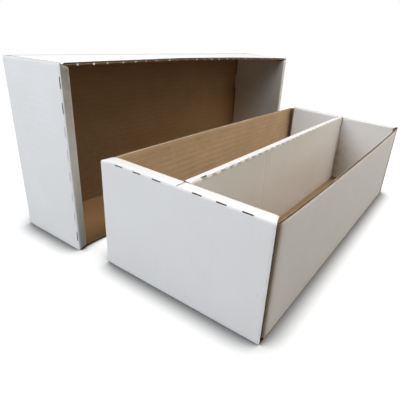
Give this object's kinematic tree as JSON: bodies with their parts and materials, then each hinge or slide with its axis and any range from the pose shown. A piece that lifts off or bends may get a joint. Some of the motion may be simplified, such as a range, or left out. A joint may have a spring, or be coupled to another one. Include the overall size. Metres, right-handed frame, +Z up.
{
  "type": "card storage box",
  "caption": "Folded corrugated-board storage box for trading cards: a long open tray with two rows parted by a folded divider, and a lift-off lid standing on its side next to it.",
  "frame": {"origin": "middle of the tray's base, on the surface that it stands on", "axes": "+Z up, Y along the tray's rows with the front end at -Y, X across the tray with the lid beside it at -X"},
  "size_m": [0.2925, 0.4128, 0.178],
  "materials": {
    "tray_board": "matte",
    "divider_board": "matte",
    "lid_board": "matte"
  },
  "bodies": {
    "tray": {"tray_floor": "tray_board", "tray_left_wall": "tray_board", "tray_right_wall": "tray_board", "tray_front_end": "tray_board", "tray_front_left_flap": "tray_board", "tray_front_left_rim": "tray_board", "tray_front_left_inner_end": "tray_board", "tray_front_right_flap": "tray_board", "tray_front_right_rim": "tray_board", "tray_front_right_inner_end": "tray_board", "tray_back_end": "tray_board", "tray_back_left_flap": "tray_board", "tray_back_left_rim": "tray_board", "tray_back_left_inner_end": "tray_board", "tray_back_right_flap": "tray_board", "tray_back_right_rim": "tray_board", "tray_back_right_inner_end": "tray_board", "divider_top_band": "divider_board", "divider_left_panel": "divider_board", "divider_right_panel": "divider_board", "divider_front_left_flap": "divider_board", "divider_front_right_flap": "divider_board", "divider_back_left_flap": "divider_board", "divider_back_right_flap": "divider_board"},
    "lid": {"lid_panel": "lid_board", "lid_upper_wall": "lid_board", "lid_lower_wall": "lid_board", "lid_front_end": "lid_board", "lid_front_rim": "lid_board", "lid_front_inner_end": "lid_board", "lid_front_upper_flap": "lid_board", "lid_front_lower_flap": "lid_board", "lid_back_end": "lid_board", "lid_back_rim": "lid_board", "lid_back_inner_end": "lid_board", "lid_back_upper_flap": "lid_board", "lid_back_lower_flap": "lid_board"}
  },
  "joints": [
    {"name": "lid_lift", "type": "slide", "parent": "tray", "child": "lid", "axis": [0, 0, 1], "range_m": [0, 0.15]}
  ]
}
